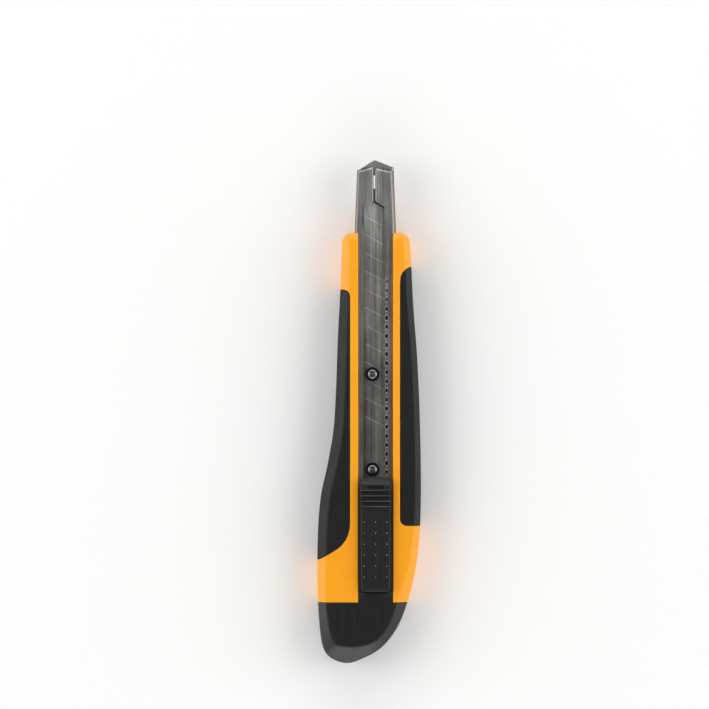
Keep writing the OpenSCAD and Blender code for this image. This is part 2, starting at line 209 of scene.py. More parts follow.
def front_height(points):
    """Height of the handle's front: a flat face, a bevel round it and small rounded edges."""
    width = bevel_width(points)
    depth = 0.73 + 0.38 * width
    d = distance(points, outline_loop)
    bevel = HANDLE_H - depth + depth * d / width
    blend = np.maximum(BEVEL_CREASE - np.abs(bevel - HANDLE_H), 0)
    return np.minimum(bevel, HANDLE_H) - blend ** 2 / (4 * BEVEL_CREASE) - fillet_drop(d, EDGE_R)


# ---------------------------------------------------------------- mesh making


class Plan:
    """Lines in plan along which a solid's surfaces have vertices."""

    def __init__(self):
        self.points = []
        self.edges = []

    def line(self, points, closed=False):
        start = len(self.points)
        count = len(points)
        self.points += [Vector((float(x), float(y))) for x, y in points]
        self.edges += [(start + i, start + i + 1) for i in range(count - 1)]
        if closed:
            self.edges.append((start + count - 1, start))

    def dots(self, points):
        self.points += [Vector((float(x), float(y))) for x, y in points]

    def triangles(self):
        """Vertices and anticlockwise triangles of the whole plan."""
        points, _, faces, *_ = delaunay_2d_cdt(self.points, self.edges, [], 0, 1e-4)
        points = np.array([tuple(p) for p in points], float)
        faces = np.array([f for f in faces], int)
        a, b, c = points[faces[:, 0]], points[faces[:, 1]], points[faces[:, 2]]
        area = (b[:, 0] - a[:, 0]) * (c[:, 1] - a[:, 1]) - (b[:, 1] - a[:, 1]) * (c[:, 0] - a[:, 0])
        faces[area < 0] = faces[area < 0][:, ::-1]
        return points, faces[np.abs(area) > 1e-9]


def plan_solid(points, faces, low, high):
    """Vertices and faces of the closed solid between two heights over the given triangles."""
    used, faces = np.unique(faces, return_inverse=True)
    faces = faces.reshape(-1, 3)
    xy = points[used]
    count = len(used)
    vertices = np.vstack([np.column_stack([xy, low(xy)]), np.column_stack([xy, high(xy)])])
    sides = {(int(f[i]), int(f[(i + 1) % 3])) for f in faces for i in range(3)}
    walls = [(a, b, b + count, a + count) for a, b in sides if (b, a) not in sides]
    return vertices, [tuple(f + count) for f in faces] + [tuple(f[::-1]) for f in faces] + walls


def rounded_box(low, high, r, steps=2):
    """A box with rounded edges, as (vertices, faces)."""
    bm = bmesh.new()
    bmesh.ops.create_cube(bm, size=1)
    low, high = Vector(low), Vector(high)
    for v in bm.verts:
        v.co = Vector(low[i] + (v.co[i] + 0.5) * (high[i] - low[i]) for i in range(3))
    if r:
        bmesh.ops.bevel(bm, geom=bm.edges[:], offset=r, segments=steps, affect="EDGES", profile=0.5)
    vertices = [tuple(v.co) for v in bm.verts]
    faces = [tuple(v.index for v in f.verts) for f in bm.faces]
    bm.free()
    return vertices, faces


def lathe(profile, centre, steps=48):
    """A solid of revolution about Z: profile is (r, z) from its foot on the axis to its top on the axis."""
    vertices, faces = [], []
    ring = [(r, z) for r, z in profile if r > 0]
    for r, z in ring:
        vertices += [(centre[0] + x, centre[1] + y, z) for x, y in arc(0, 0, r, 0, 360, steps)[:-1]]
    foot, top = len(vertices), len(vertices) + 1
    vertices += [(centre[0], centre[1], profile[0][1]), (centre[0], centre[1], profile[-1][1])]
    last = (len(ring) - 1) * steps
    for k in range(steps):
        n = (k + 1) % steps
        faces += [(i * steps + k, i * steps + n, (i + 1) * steps + n, (i + 1) * steps + k)
            for i in range(len(ring) - 1)]
        faces += [(foot, n, k), (top, last + k, last + n)]
    return vertices, faces


def make_object(name, solids):
    """One object from (vertices, faces) pairs in millimetres."""
    vertices, faces = [], []
    for solid_vertices, solid_faces in solids:
        start = len(vertices)
        vertices += [tuple(float(c) * MM for c in v) for v in solid_vertices]
        faces += [tuple(int(i) + start for i in f) for f in solid_faces]
    mesh = bpy.data.meshes.new(name)
    mesh.from_pydata(vertices, [], faces)
    bm = bmesh.new()
    bm.from_mesh(mesh)
    bmesh.ops.recalc_face_normals(bm, faces=bm.faces)
    bm.to_mesh(mesh)
    bm.free()
    obj = bpy.data.objects.new(name, mesh)
    bpy.context.scene.collection.objects.link(obj)
    return obj


def combine(obj, operation, solids, solver="MANIFOLD"):
    """Cuts the solids out of obj, or joins them to it."""
    tool = make_object("tool", solids)
    modifier = obj.modifiers.new("combine", "BOOLEAN")
    modifier.operation = operation
    modifier.solver = solver
    modifier.object = tool
    evaluated = obj.evaluated_get(bpy.context.evaluated_depsgraph_get())
    mesh = bpy.data.meshes.new_from_object(evaluated)
    obj.modifiers.clear()
    obj.data = mesh
    bpy.data.objects.remove(tool)


def dress(obj, material, body, nodes=(), sharp=38):
    """Gives a piece its shading, material and body, and the CAD nodes it stands for."""
    mesh = obj.data
    mesh.materials.clear()
    mesh.materials.append(material)
    mesh.polygons.foreach_set("use_smooth", [True] * len(mesh.polygons))
    mesh.set_sharp_from_angle(angle=math.radians(sharp))
    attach(obj, body)
    if nodes:
        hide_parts(*nodes)


# ---------------------------------------------------------------- materials

WEAR_AND_HIGHLIGHT = "wear_and_highlight"
# The steel's darkest tone, a painted shade: the painted shadow line under the lock slots and the darkened
# sideways faces reach it.
PAINTED_SHADE_TONE = (0.03, 0.028, 0.025)
# The painted shadow line on the blade under the lock slots: half its width, and the place and length of its
# fade towards the tip, in metres.
SHADE_LINE_HALF = 0.00045
SHADE_LINE_END_Y = 0.037
SHADE_LINE_FADE = 0.009
SLOT_X = 4.85


def add(tree, kind, inputs=None, **settings):
    """A shader node. A socket among the inputs is linked; any other value is set."""
    node = tree.nodes.new(kind)
    for key, value in settings.items():
        setattr(node, key, value)
    for key, value in (inputs or {}).items():
        if isinstance(value, bpy.types.NodeSocket):
            tree.links.new(value, node.inputs[key])
        else:
            node.inputs[key].default_value = value
    return node


def noise(tree, place, scale, detail=2.0, roughness=0.5, stretch=(1, 1, 1)):
    """Noise of the given frequency, in cycles per metre."""
    where = add(tree, "ShaderNodeMapping", {"Vector": place, "Scale": stretch})
    made = add(tree, "ShaderNodeTexNoise", {"Vector": where.outputs[0], "Scale": scale, "Detail": detail,
        "Roughness": roughness})
    return made.outputs[0]


def span(tree, value, low, high, to_low, to_high):
    made = add(tree, "ShaderNodeMapRange", {"Value": value, "From Min": low, "From Max": high,
        "To Min": to_low, "To Max": to_high})
    return made.outputs[0]


def math_node(tree, operation, a, b):
    return add(tree, "ShaderNodeMath", {0: a, 1: b}, operation=operation).outputs[0]


def tint(tree, factor, stops):
    """A colour ramp: stops are (position, linear colour)."""
    ramp = add(tree, "ShaderNodeValToRGB", {"Fac": factor})
    elements = ramp.color_ramp.elements
    while len(elements) < len(stops):
        elements.new(0.5)
    for element, (position, colour) in zip(elements, stops):
        element.position = position
        element.color = (*colour, 1)
    return ramp.outputs[0]


def shade(colour, gain):
    return tuple(min(c * gain, 1) for c in colour)


def new_material(name):
    material = bpy.data.materials.new(name)
    material.use_nodes = True
    tree = material.node_tree
    place = add(tree, "ShaderNodeTexCoord").outputs["Object"]
    return material, tree, tree.nodes["Principled BSDF"], place


def moulded(name, colour, roughness, grain, depth, mottle=0.05, wear=1.5, specular=0.5, wear_and_highlight=1.5):
    """Moulded plastic or rubber: a fine grain, a slight mottle in tint and gloss, faint rub marks
    and edges that use has paled. grain is the texture's size and depth its height, in metres.
    wear is how much paler the edges are, and wear_and_highlight how pale the points are that the mesh's
    wear_and_highlight attribute marks: thumb wear with a painted highlight."""
    material, tree, shader, place = new_material(name)
    mottling = noise(tree, place, 90, 3)
    marks = noise(tree, place, 260, 4, 0.6, (5, 0.5, 5))
    fine = noise(tree, place, 1 / grain, 2, 0.6)
    edge = span(tree, add(tree, "ShaderNodeNewGeometry").outputs["Pointiness"], 0.53, 0.62, 0, 0.25)
    rub = span(tree, marks, 0.62, 0.75, 0, 0.2)
    wear_and_highlight_mask = add(tree, "ShaderNodeAttribute", attribute_name=WEAR_AND_HIGHLIGHT).outputs["Fac"]
    mixed = math_node(tree, "ADD", span(tree, mottling, 0.3, 0.7, 0, 0.25), math_node(tree, "ADD", edge, rub))
    # Points marked by the mesh's attribute are drawn much paler: thumb wear with a painted highlight.
    mixed = math_node(tree, "ADD", mixed, span(tree, wear_and_highlight_mask, 0, 1, 0, 0.75))
    stops = [(0, shade(colour, 1 - mottle)), (0.25, shade(colour, 1 + mottle)), (0.6, shade(colour, wear)),
        (1, shade(colour, wear_and_highlight))]
    tree.links.new(tint(tree, mixed, stops), shader.inputs["Base Color"])
    gloss = math_node(tree, "ADD", span(tree, fine, 0.3, 0.7, -0.05, 0.05),
        span(tree, marks, 0.3, 0.7, roughness + 0.05, roughness - 0.05))
    tree.links.new(gloss, shader.inputs["Roughness"])
    shader.inputs["Specular IOR Level"].default_value = specular
    bump = add(tree, "ShaderNodeBump", {"Strength": 1.0, "Distance": depth, "Height": fine})
    tree.links.new(bump.outputs[0], shader.inputs["Normal"])
    return material


def steel(name, front, rear, roughness, streak=0.12, polish=0.3, shade_line_x=None, walls=1.0):
    """Rolled steel: fine lengthwise scratches, cloudy oil film, and a painted tone that runs from the tip
    to the rear, lighter at the tip and darker at the rear, standing in for the light the steel reflects.
    front and rear are linear colours. shade_line_x is where a painted shadow line lies, in metres,
    standing in for the shade inside the lock slots above it: it ends short of the tip. walls is how
    much of the tone is left on faces turned sideways, a painted shade that dims the folds."""
    material, tree, shader, place = new_material(name)
    split = add(tree, "ShaderNodeSeparateXYZ", {0: place})
    along = split.outputs["Y"]
    cloud = noise(tree, place, 140, 4, 0.6, (1, 0.45, 1))
    scratch = noise(tree, place, 3200, 3, 0.7, (1, 0.012, 1))
    broad = noise(tree, place, 900, 3, 0.6, (1, 0.03, 1))
    edge = span(tree, add(tree, "ShaderNodeNewGeometry").outputs["Pointiness"], 0.53, 0.62, 0, polish)
    # A painted tone, lighter towards the tip and darker towards the rear, and lighter again at the very tip:
    # it stands in for the light the steel reflects.
    painted_tone = math_node(tree, "ADD", span(tree, along, -0.03, 0.056, 0.3, 0.8),
        span(tree, along, 0.0664, 0.068, 0, 0.3))
    marks = math_node(tree, "ADD", span(tree, scratch, 0.3, 0.7, -streak, streak),
        span(tree, broad, 0.3, 0.7, -streak, streak))
    cloudy = math_node(tree, "ADD", marks, span(tree, cloud, 0.3, 0.7, -0.12, 0.12))
    mixed = math_node(tree, "ADD", math_node(tree, "ADD", painted_tone, cloudy), edge)
    # A painted shadow line along the blade under the lock slots, which stands in for the shade inside them.
    if shade_line_x is not None:
        aside = math_node(tree, "ABSOLUTE", math_node(tree, "SUBTRACT", split.outputs["X"], shade_line_x), 0.0)
        uneven = math_node(tree, "ADD", aside, span(tree, broad, 0.3, 0.7, -SHADE_LINE_HALF / 4, SHADE_LINE_HALF / 4))
        outside_shade_line = math_node(tree, "MAXIMUM", span(tree, uneven, SHADE_LINE_HALF, SHADE_LINE_HALF * 1.5, 0, 1),
            span(tree, along, SHADE_LINE_END_Y - SHADE_LINE_FADE, SHADE_LINE_END_Y, 0, 1))
        mixed = math_node(tree, "MULTIPLY", mixed, outside_shade_line)
    # Painted shade: faces turned sideways get a darker tone, which dims the bright bands on the folds.
    if walls < 1:
        normal = add(tree, "ShaderNodeNewGeometry").outputs["Normal"]
        normal_x = add(tree, "ShaderNodeSeparateXYZ", {0: normal}).outputs["X"]
        sideways = math_node(tree, "ABSOLUTE", normal_x, 0.0)
        mixed = math_node(tree, "MULTIPLY", mixed, span(tree, sideways, 0.12, 0.45, 1, walls))
    stops = [(0, PAINTED_SHADE_TONE), (0.1, shade(rear, 0.8)), (0.3, rear), (0.8, front), (1, shade(front, 1.45))]
    tree.links.new(tint(tree, mixed, stops), shader.inputs["Base Color"])
    shader.inputs["Metallic"].default_value = 1.0
    gloss = math_node(tree, "ADD", span(tree, scratch, 0.3, 0.7, -0.06, 0.06),
        span(tree, cloud, 0.3, 0.7, roughness - 0.06, roughness + 0.06))
    tree.links.new(gloss, shader.inputs["Roughness"])
    bump = add(tree, "ShaderNodeBump", {"Strength": 0.6, "Distance": 4e-6, "Height": scratch})
    tree.links.new(bump.outputs[0], shader.inputs["Normal"])
    return material


YELLOW = (0.87, 0.335, 0.009)
BLACK = (0.006, 0.0062, 0.0066)

yellow_plastic = moulded("yellow_plastic", YELLOW, 0.42, 0.00022, 4e-6, 0.03, 1.12, 0.35, 1.12)
grip_rubber = moulded("grip_rubber", (0.006, 0.0061, 0.0063), 0.52, 0.00016, 9e-6, 0.12, 2.2, 0.3)
cap_plastic = moulded("cap_plastic", (0.0065, 0.0068, 0.0075), 0.4, 0.00018, 6e-6, 0.1, 2.0)
# The button's marked dots and ridge tops are drawn almost grey: thumb wear with a painted highlight.
slider_plastic = moulded("slider_plastic", BLACK, 0.5, 0.0002, 6e-6, 0.1, 2.0, 0.4, 36)
# Its sideways faces keep only a little of the tone: a painted shade on the folds.
channel_steel = steel("channel_steel", (0.4, 0.4, 0.38), (0.34, 0.31, 0.275), 0.42, 0.12, 0.08, walls=0.06)
# The blade carries the painted shadow line under the lock slots.
blade_steel = steel("blade_steel", (0.52, 0.515, 0.5), (0.3, 0.295, 0.285), 0.4, 0.12, 0.2, SLOT_X * MM)
stud_steel = steel("stud_steel", (0.3, 0.3, 0.3), (0.24, 0.24, 0.24), 0.3)
# Near-black steel for the studs' rims: a painted shade that stands for the shadowed gap round each stud.
shadow_black_steel = steel("shadow_black_steel", (0.02, 0.02, 0.021), (0.02, 0.02, 0.021), 0.45)

# ---------------------------------------------------------------- handle, grips and cap


def handle_plan():
    plan = Plan()
    plan.line(outline, True)
    for d in (0.02, 0.09, 0.22, 0.4, 0.7, 1.1, BACK_R):
        plan.line(outline + outline_inward * d, True)
    for share in (0.8, 0.88, 0.95, 1.0, 1.05, 1.12, 1.22):
        plan.line(outline + outline_inward * (bevel_at_outline * share)[:, None], True)
    for seam in (left_seam, right_seam, cap_seam):
        sideways = normals_left(seam, False)
        for share in (0, 0.04, 0.15, 0.35, 0.65, 1.0, 1.3):
            for side in (-1, 1):
                plan.line(seam + sideways * side * (SEAM_HALF_GAP + share * SEAM_R))
    for edge in (TRACK_X - TRACK_W / 2, TRACK_X + TRACK_W / 2):
        for share in (-1.3, -1, -0.6, -0.3, -0.12, 0, 0.12, 0.3, 0.6, 1, 1.3):
            plan.line([(edge + share * SEAM_R, SEAM_Y), (edge + share * SEAM_R, FRONT_Y + 1)])
    pitch = 2.0
    grid = [(x + (row % 2) * pitch / 2, y) for row, y in enumerate(np.arange(-68, 48, pitch * 0.87))
        for x in np.arange(-13, 14, pitch)]
    plan.dots(grid)
    points, faces = plan.triangles()
    centres = points[faces].mean(axis=1)
    keep = inside(centres, outline)
    for seam in (left_seam, right_seam, cap_seam):
        keep &= distance(centres, seam) > SEAM_HALF_GAP - 0.002
    return points, faces[keep], centres[keep]


handle_points, handle_faces, handle_centres = handle_plan()
in_left = inside(handle_centres, left_area)
in_right = inside(handle_centres, right_area)
in_cap = handle_centres[:, 1] < SEAM_Y
SEAMS = (left_seam, right_seam, cap_seam)


def block_high_z(points):
    return front_height(points) - seam_drop(points, SEAMS)


def shell_high_z(points):
    """The handle's front, whose edges along the track are rounded too."""
    z = block_high_z(points)
    for edge in (TRACK_X - TRACK_W / 2, TRACK_X + TRACK_W / 2):
        z -= fillet_drop(np.abs(points[:, 0] - edge), SEAM_R)
    return z


def block_low_z(points):
    return fillet_drop(distance(points, outline_loop), BACK_R) + seam_drop(points, SEAMS)


def region(faces, high=block_high_z):
    return plan_solid(handle_points, faces, block_low_z, high)


HOLLOW_LOW = (-3.4, -FAR, 2.0)
HOLLOW_HIGH = (6.9, 44.0, 6.6)
BOSS_R = 2.3
PLUG_GAP = 0.05
PLUG_LEN = 8
PLUG_WALL = 1.1


def make_handle():
    shell = make_object("handle_shell_moulded", [region(handle_faces[~in_left & ~in_right & ~in_cap],
        shell_high_z)])
    clear = 0.02
    slot = rounded_box((channel_low[0] - clear, -FAR, channel_low[2] - clear),
        (channel_high[0] + clear, FAR, channel_high[2] + clear), 0)
    track = rounded_box((TRACK_X - TRACK_W / 2 - clear, -FAR, channel_high[2] - 1),
        (TRACK_X + TRACK_W / 2 + clear, FAR, FAR), 0)
    combine(shell, "DIFFERENCE", [slot])
    combine(shell, "DIFFERENCE", [track])
    hollow = make_object("hollow", [rounded_box(HOLLOW_LOW, HOLLOW_HIGH, 0.4)])
    bosses = [lathe([(0, 0), (BOSS_R, 0), (BOSS_R, HANDLE_H), (0, HANDLE_H)], (RIVET_X, y)) for y in RIVET_Y]
    combine(hollow, "DIFFERENCE", bosses)
    mesh = hollow.data
    corners = [v.co / MM for v in mesh.vertices]
    combine(shell, "DIFFERENCE", [(corners, [tuple(f.vertices) for f in mesh.polygons])])
    bpy.data.objects.remove(hollow)
    dress(shell, yellow_plastic, "handle", ["handle_shell"])


def make_grips():
    for side, faces in (("left", in_left), ("right", in_right)):
        grip = make_object(side + "_grip_rubber", [region(handle_faces[faces & ~in_cap])])
        dress(grip, grip_rubber, "handle", [side + "_grip"])


def make_cap():
    cap = make_object("end_cap_moulded", [region(handle_faces[in_cap])])
    root_y = SEAM_Y - 1
    tongue = rounded_box((TRACK_X - TRACK_W / 2 + PLUG_GAP, root_y, channel_high[2] + PLUG_GAP),
        (TRACK_X + TRACK_W / 2 - PLUG_GAP, button_low[1] - 0.1, HANDLE_H), 0.2)
    plug = rounded_box((HOLLOW_LOW[0] + PLUG_GAP, root_y, HOLLOW_LOW[2] + PLUG_GAP),
        (HOLLOW_HIGH[0] - PLUG_GAP, SEAM_Y + PLUG_LEN, HOLLOW_HIGH[2] - PLUG_GAP), 0.4)
    bore = rounded_box((HOLLOW_LOW[0] + PLUG_WALL, -62, HOLLOW_LOW[2] + PLUG_WALL),
        (HOLLOW_HIGH[0] - PLUG_WALL, FAR, HOLLOW_HIGH[2] - PLUG_WALL), 0.3)
    combine(cap, "UNION", [tongue])
    combine(cap, "UNION", [plug])
    combine(cap, "DIFFERENCE", [bore])
    dress(cap, cap_plastic, "cap", ["end_cap"])


make_handle()
make_grips()
make_cap()

# ---------------------------------------------------------------- blade channel

SHEET = 0.45
FOLD_R = {-1: 0.7, 1: 1.1}
NOSE_BASE_Y = 51
NOSE_CORNER_Y = 66.7
NOSE_W = 10.1
SPREAD_Y = 60
APEX = (1.5, channel_high[1])
LEFT_LIP = [(-60, -1.5), (50, -1.5), (51.5, -1.9), (56.5, -1.95), (56.62, -1.6), (57.65, 0.95), (57.9, 1.11),
    (70, 1.11)]
RIGHT_LIP = [(-60, 4.25), (56.3, 4.25), (56.45, 4.0), (57.75, 2.1), (58.05, 1.81), (70, 1.81)]
LEFT_FLAP = [(-3.6, 65.95), (1.11, 67.25)]
RIGHT_FLAP = [(1.81, 66.95), (7.0, 65.8)]
GABLE = [(-3.4, 66.2), APEX, (6.9, 67.2)]
CURL_W = 0.4
LIP_ROUND = 0.3
END_CHAMFER = 0.08


def channel_half(y):
    share = np.clip((y - NOSE_BASE_Y) / (NOSE_CORNER_Y - NOSE_BASE_Y), 0, 1)
    width = channel_high[0] - channel_low[0]
    return (width + (NOSE_W - width) * share) / 2


def sheet_half(y, lip, end_line, side):
    """The middle of the sheet from a lip's free edge to the channel's centre, as x, y, z at station y."""
    x_lip = np.interp(y, *zip(*lip)) + side * LIP_ROUND * SHEET / 2
    curl = np.interp(y, (56.5, 58.5), (0, 0.1))
    half = channel_half(y)
    fold = FOLD_R[side] - SHEET / 2
    bend_x = CHANNEL_X + side * (half - FOLD_R[side])
    top = channel_high[2] - SHEET / 2
    low = channel_low[2] + SHEET / 2
    edge_steps = np.array([0, 0.06, 0.14, 0.25, 0.38, 0.5])
    flat = x_lip + side * edge_steps
    flat = np.concatenate([flat, np.linspace(flat[-1], bend_x, 6)[1:-1]])
    from_edge = np.abs(flat - x_lip)
    flat_z = top - curl * np.clip(1 - from_edge / CURL_W, 0, 1) ** 2
    angles = np.radians(np.linspace(90, 0, 8))
    upper = np.column_stack([bend_x + side * fold * np.cos(angles), top - fold + fold * np.sin(angles)])
    angles = np.radians(np.linspace(0, -90, 8))
    lower = np.column_stack([bend_x + side * fold * np.cos(angles), low + fold + fold * np.sin(angles)])
    plate = np.linspace(bend_x, CHANNEL_X, 9)[1:]
    path = np.vstack([np.column_stack([flat, flat_z]), upper, lower,
        np.column_stack([plate, np.full(len(plate), low)])])
    share = max(0, (y - SPREAD_Y) / (NOSE_CORNER_Y - SPREAD_Y))
    plate_end = np.interp(plate, *zip(*GABLE))
    wall_z = np.concatenate([upper, lower])[:, 1]
    fold_end = np.interp(bend_x, *zip(*end_line))
    foot_end = np.interp(bend_x, *zip(*GABLE))
    wall_end = np.interp(-wall_z, (-top, -low), (fold_end, foot_end))
    end = np.concatenate([np.interp(flat, *zip(*end_line)), wall_end, plate_end])
    y_path = y + share * (end - NOSE_CORNER_Y)
    return np.column_stack([path[:, 0], y_path, path[:, 1]])


def channel_sheet():
    """The folded sheet as one closed surface: rings round its cross-section, station by station."""
    stations = np.concatenate([np.linspace(channel_low[1], 49, 12), np.arange(50, 56.2, 0.5),
        np.arange(56.3, 58.3, 0.1), np.linspace(59, NOSE_CORNER_Y - END_CHAMFER, 12), [NOSE_CORNER_Y]])
    vertices, count = [], 0
    for y in stations:
        left = sheet_half(y, LEFT_LIP, LEFT_FLAP, -1)
        right = sheet_half(y, RIGHT_LIP, RIGHT_FLAP, 1)
        path = np.vstack([left, right[-2::-1]])
        turn = normals_left(path[:, [0, 2]], False)
        outer = path.copy()
        inner = path.copy()
        outer[:, [0, 2]] -= turn * (SHEET / 2 - (END_CHAMFER if y == NOSE_CORNER_Y else 0))
        inner[:, [0, 2]] += turn * SHEET / 2
        ring = [*outer]
        for end, sign in ((-1, 1), (0, -1)):
            away = path[end, [0, 2]] - path[-2 if end else 1, [0, 2]]
            away /= np.linalg.norm(away)
            for angle in (math.pi / 4, math.pi / 2, 3 * math.pi / 4):
                side = -turn[end] * math.cos(angle) * sign
                tip = path[end].copy()
                tip[[0, 2]] += SHEET / 2 * (side + away * math.sin(angle) * LIP_ROUND)
                ring.append(tip)
            if end:
                ring += [*inner[::-1]]
        count = len(ring)
        vertices += ring
    n = len(outer)
    faces = [(s * count + i, s * count + (i + 1) % count, (s + 1) * count + (i + 1) % count,
        (s + 1) * count + i) for s in range(len(stations) - 1) for i in range(count)]
    last = (len(stations) - 1) * count
    inner_start = n + 3
    for start, flip in ((0, False), (last, True)):
        strip = [(start + i, start + inner_start + n - 1 - i, start + inner_start + n - 2 - i, start + i + 1)
            for i in range(n - 1)]
        strip.append(tuple(start + i for i in range(n - 1, n + 4)))
        strip.append(tuple(start + i % count for i in range(inner_start + n - 1, count + 1)))
        faces += [f[::-1] for f in strip] if flip else strip
    return vertices, faces


SLOT_W, SLOT_LEN, SLOT_PITCH, SLOT_COUNT = 0.62, 1.08, 2.5, 27
SLOT_FIRST_Y = 35.8
SLIT_X, SLIT_W, SLIT_LOW_Y, SLIT_HIGH_Y = 1.46, 0.4, 61.4, 65.1
RIVET_GAP = 0.03
BURR_WAVE = 0.7


def stadium(x, y, width, length, r, steps):
    """Outline of a rectangle with rounded corners, anticlockwise."""
    dx, dy = width / 2 - r, length / 2 - r
    corners = [(dx, dy, 0), (-dx, dy, 90), (-dx, -dy, 180), (dx, -dy, 270)]
    return np.vstack([arc(x + cx, y + cy, r, a, a + 90, steps) for cx, cy, a in corners])


def prism(polygon, low, high):
    n = len(polygon)
    vertices = [(*p, low) for p in polygon] + [(*p, high) for p in polygon]
    faces = [(i, (i + 1) % n, (i + 1) % n + n, i + n) for i in range(n)]
    return vertices, faces + [tuple(range(n))[::-1], tuple(range(n, 2 * n))]


def burr(x, y):
    """The raised, uneven rim that punching leaves round a lock slot."""
    vertices, faces = [], []
    top = channel_high[2]
    section = [(0.0, -0.05), (0.02, 0.03), (0.08, 0.05), (0.16, 0.03), (0.22, -0.05)]
    n = 0
    for out, z in section:
        loop = stadium(x, y, SLOT_W + 2 * out, SLOT_LEN + 2 * out, 0.12 + out, 3)
        n = len(loop)
        wave = max(z, 0) * BURR_WAVE
        vertices += [(*p, top + z + wave * math.sin(2.1 * k + 5 * y)) for k, p in enumerate(loop)]
    rows = len(section)
    for i in range(rows):
        for k in range(n):
            j, m = (i + 1) % rows, (k + 1) % n
            faces.append((i * n + k, j * n + k, j * n + m, i * n + m))
    return vertices, faces


def make_channel():
    channel = make_object("blade_channel_folded", [channel_sheet()])
    slots = [(SLOT_X, SLOT_FIRST_Y - i * SLOT_PITCH) for i in range(SLOT_COUNT)]
    top = channel_high[2]
    holes = [prism(stadium(x, y, SLOT_W, SLOT_LEN, 0.12, 3), top - 1, top + 1) for x, y in slots]
    middle = (SLIT_LOW_Y + SLIT_HIGH_Y) / 2
    low = channel_low[2]
    holes.append(prism(stadium(SLIT_X, middle, SLIT_W, SLIT_HIGH_Y - SLIT_LOW_Y, 0.15, 4), low - 1, low + 1))
    bore_r = RIVET_HEAD_R + RIVET_GAP
    bore = [(0, low - 1), (bore_r, low - 1), (bore_r, low + 1), (0, low + 1)]
    holes += [lathe(bore, (RIVET_X, y)) for y in RIVET_Y]
    combine(channel, "DIFFERENCE", holes)
    dress(channel, channel_steel, "handle", ["blade_channel"], 50)
    burrs = make_object("slot_burrs", [burr(x, y) for x, y in slots])
    dress(burrs, channel_steel, "handle", (), 60)


make_channel()

# ---------------------------------------------------------------- blade and studs

SCORE_PITCH = 5
SCORE_ANGLE = 28
SCORE_W = 0.1
SCORE_DEEP = 0.03
PLAIN_TAIL = 18
EDGE_W = 1.3
STUD_HOLE_R = 1.95
DOME_H = 0.42


def stud_centre(node):
    low, high = box_mm(node)
    return (low[:2] + high[:2]) / 2


def make_blade():
    edge_x, spine_x = blade_low[0], blade_high[0]
    tail_y, tip_y = blade_low[1], blade_high[1]
    base_z, top_z = blade_low[2], blade_high[2]
    middle_z = (base_z + top_z) / 2
    width = spine_x - edge_x
    fall = math.tan(math.radians(SCORE_ANGLE))
    corners = np.array([(edge_x, tail_y), (spine_x, tail_y), (spine_x, tip_y - width * fall),
        (edge_x, tip_y)])
    score_count = int((tip_y - tail_y - PLAIN_TAIL) / SCORE_PITCH)
    scores = [tip_y - i * SCORE_PITCH for i in range(1, score_count + 1)]
    holes = [stud_centre("front_stud"), stud_centre("rear_stud")]
    plan = Plan()
    plan.line(corners, True)
    for x in (edge_x + EDGE_W - 0.05, edge_x + EDGE_W, edge_x + EDGE_W + 0.05, spine_x - 0.08):
        plan.line([(x, tail_y - 1), (x, tip_y + 1)])
    for y in scores:
        for aside in (-1, -0.5, 0, 0.5, 1):
            start = y + aside * SCORE_W / math.cos(math.radians(SCORE_ANGLE))
            plan.line([(edge_x, start), (spine_x, start - width * fall)])
    for x, y in holes:
        plan.line(arc(x, y, STUD_HOLE_R, 0, 360, 40)[:-1], True)
    points, faces = plan.triangles()
    centres = points[faces].mean(axis=1)
    keep = inside(centres, corners)
    for x, y in holes:
        keep &= np.hypot(centres[:, 0] - x, centres[:, 1] - y) > STUD_HOLE_R * 0.997

    def ground(p, flat):
        share = np.clip((p[:, 0] - edge_x) / EDGE_W, 0.03, 1)
        return middle_z + (flat - middle_z) * share

    def high(p):
        z = ground(p, top_z)
        for y in scores:
            away = np.abs(p[:, 1] - (y - (p[:, 0] - edge_x) * fall)) * math.cos(math.radians(SCORE_ANGLE))
            depth = SCORE_DEEP * np.clip(1 - away / SCORE_W, 0, 1)
            z -= depth * np.clip((z - middle_z) / (top_z - middle_z), 0, 1)
        return z

    blade = make_object("snap_blade", [plan_solid(points, faces[keep], lambda p: ground(p, base_z), high)])
    dress(blade, blade_steel, "slider", ["blade"], 12)


def make_stud(node):
    """A turned stud: neck, head with a rounded rim, and a domed middle with a small dimple. The rim is
    near-black, a painted shade that stands for the shadowed gap round the stud; the dome is grey steel.
    """
    low, high = box_mm(node)
    r = (high[0] - low[0]) / 2
    neck_r = 1.2
    rim = high[2] - 0.3
    seat = blade_low[2]
    dome_r = r - 0.58
    profile = [(0, low[2]), (neck_r, low[2]), (neck_r, seat), (r - 0.06, seat), (r, seat + 0.08),
        (r, rim - 0.1), (r - 0.03, rim - 0.03), (r - 0.1, rim), (dome_r + 0.12, rim),
        (dome_r + 0.04, rim - 0.05), (dome_r + 0.02, rim - 0.3)]
    for angle in range(0, 80, 8):
        profile.append((dome_r * math.cos(math.radians(angle)),
            rim - 0.28 + DOME_H * math.sin(math.radians(angle))))
    profile += [(0.2, rim - 0.3 + DOME_H), (0.12, rim - 0.34 + DOME_H), (0, rim - 0.36 + DOME_H)]
    centre = stud_centre(node)
    stud = make_object(node + "_turned", [lathe(profile, centre, 56)])
    dress(stud, shadow_black_steel, "slider", [node], 50)
    stud.data.materials.append(stud_steel)
    # The rim gets the near-black painted shade, the dome the grey steel.
    for face in stud.data.polygons:
        x, y, z = face.center / MM
        face.material_index = int(math.hypot(x - centre[0], y - centre[1]) < dome_r and z > seat)


make_blade()
make_stud("front_stud")
make_stud("rear_stud")

# ---------------------------------------------------------------- thumb button

